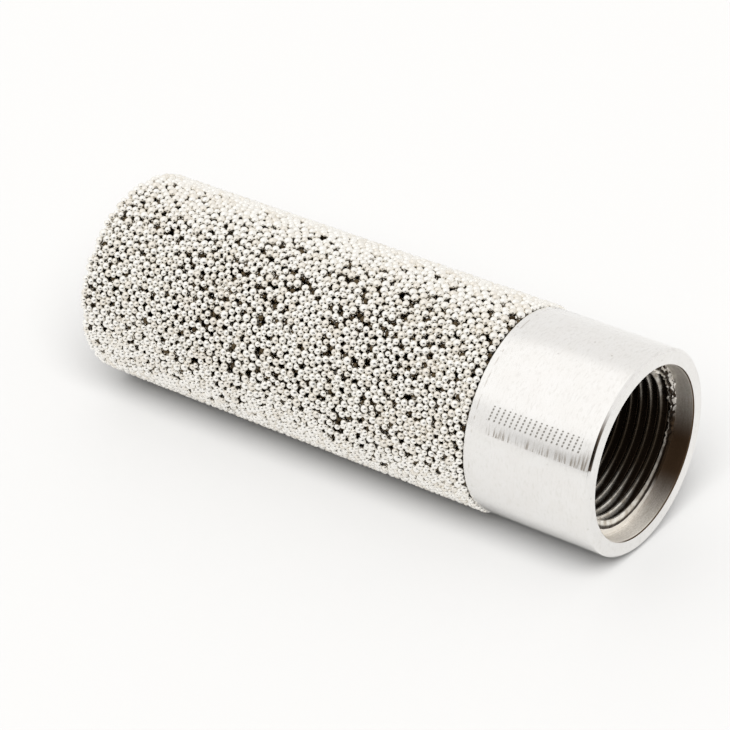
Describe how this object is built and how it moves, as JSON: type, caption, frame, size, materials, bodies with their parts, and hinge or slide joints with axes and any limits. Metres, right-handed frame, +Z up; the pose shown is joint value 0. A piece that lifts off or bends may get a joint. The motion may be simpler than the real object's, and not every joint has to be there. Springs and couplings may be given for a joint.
{
  "type": "pneumatic muffler",
  "caption": "Round exhaust muffler: a steel sleeve with an internal pipe thread, and a closed porous cup of sintered steel beads behind it.",
  "frame": {"origin": "centre of the sleeve's mouth, in the plane of its rim", "axes": "+X runs along the muffler's axis and out of the threaded mouth; +Z is up as the muffler lies on its side; +Y completes the right-handed frame"},
  "size_m": [0.1, 0.035, 0.035],
  "materials": {
    "nickel_plated_steel": "satin",
    "sintered_steel_beads": "satin"
  },
  "bodies": {
    "root": {"threaded_sleeve": "nickel_plated_steel", "sintered_bead_cup": "sintered_steel_beads"}
  },
  "joints": []
}
